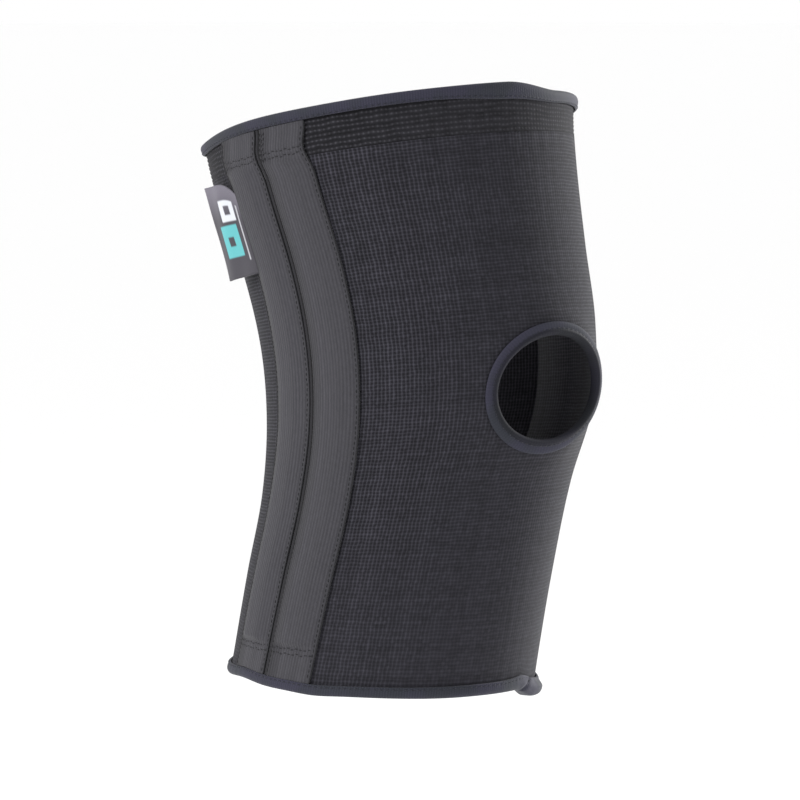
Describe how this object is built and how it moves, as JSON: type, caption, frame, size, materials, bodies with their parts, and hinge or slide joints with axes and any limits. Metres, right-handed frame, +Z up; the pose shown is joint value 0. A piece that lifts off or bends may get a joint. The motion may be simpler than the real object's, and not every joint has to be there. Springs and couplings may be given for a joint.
{
  "type": "knee brace",
  "caption": "Elastic knitted knee sleeve with an open patella, paired side channels holding flat spiral stays, bound hems and a folded side label.",
  "frame": {"origin": "middle of the knee inside the sleeve, where the leg holds it", "axes": "+Z up along the leg, towards the thigh; the kneecap opening faces -Y; the label side is -X"},
  "size_m": [0.1504, 0.1694, 0.2429],
  "materials": {
    "knit": "fine elastic knit, matt",
    "rib_knit": "coarse rib knit, matt",
    "channel_tape": "woven ribbed elastic tape, slight sheen",
    "binding": "folded knit binding tape, slate blue",
    "thread": "polyester sewing thread",
    "label": "woven damask label with a plain geometric pattern",
    "stay_steel": "galvanised spring steel"
  },
  "bodies": {
    "thigh_section": {"knit_front_thigh": "knit", "knit_front_knee": "knit", "rib_band_front": "rib_knit", "knit_rear_thigh": "knit", "knit_rear_knee": "knit", "rib_band_rear": "rib_knit", "hem_top": "binding", "patella_binding": "binding", "tape_near_front_thigh": "channel_tape", "tape_near_front_knee": "channel_tape", "stay_near_front": "stay_steel", "cap_near_front_top": "stay_steel", "stitches_near_front_top": "thread", "tape_near_rear_thigh": "channel_tape", "tape_near_rear_knee": "channel_tape", "stay_near_rear": "stay_steel", "cap_near_rear_top": "stay_steel", "stitches_near_rear_top": "thread", "tape_far_front_thigh": "channel_tape", "tape_far_front_knee": "channel_tape", "stay_far_front": "stay_steel", "cap_far_front_top": "stay_steel", "stitches_far_front_top": "thread", "tape_far_rear_thigh": "channel_tape", "tape_far_rear_knee": "channel_tape", "stay_far_rear": "stay_steel", "cap_far_rear_top": "stay_steel", "stitches_far_rear_top": "thread", "side_label": "label"},
    "calf_section": {"knit_front_calf": "knit", "knit_rear_calf": "knit", "hem_bottom": "binding", "tape_near_front_calf": "channel_tape", "cap_near_front_bottom": "stay_steel", "stitches_near_front_bottom": "thread", "tape_near_rear_calf": "channel_tape", "cap_near_rear_bottom": "stay_steel", "stitches_near_rear_bottom": "thread", "tape_far_front_calf": "channel_tape", "cap_far_front_bottom": "stay_steel", "stitches_far_front_bottom": "thread", "tape_far_rear_calf": "channel_tape", "cap_far_rear_bottom": "stay_steel", "stitches_far_rear_bottom": "thread"}
  },
  "joints": [
    {"name": "knee_flexion", "type": "hinge", "parent": "thigh_section", "child": "calf_section", "pos_m": [0, 0.012, 0], "axis": [1, 0, 0], "range_deg": [-27, 80], "stiffness_Nm_per_rad": 0.5, "deforming": ["knit_front_knee", "knit_rear_knee", "tape_near_front_knee", "tape_near_rear_knee", "tape_far_front_knee", "tape_far_rear_knee", "stay_near_front", "stay_near_rear", "stay_far_front", "stay_far_rear"]}
  ]
}
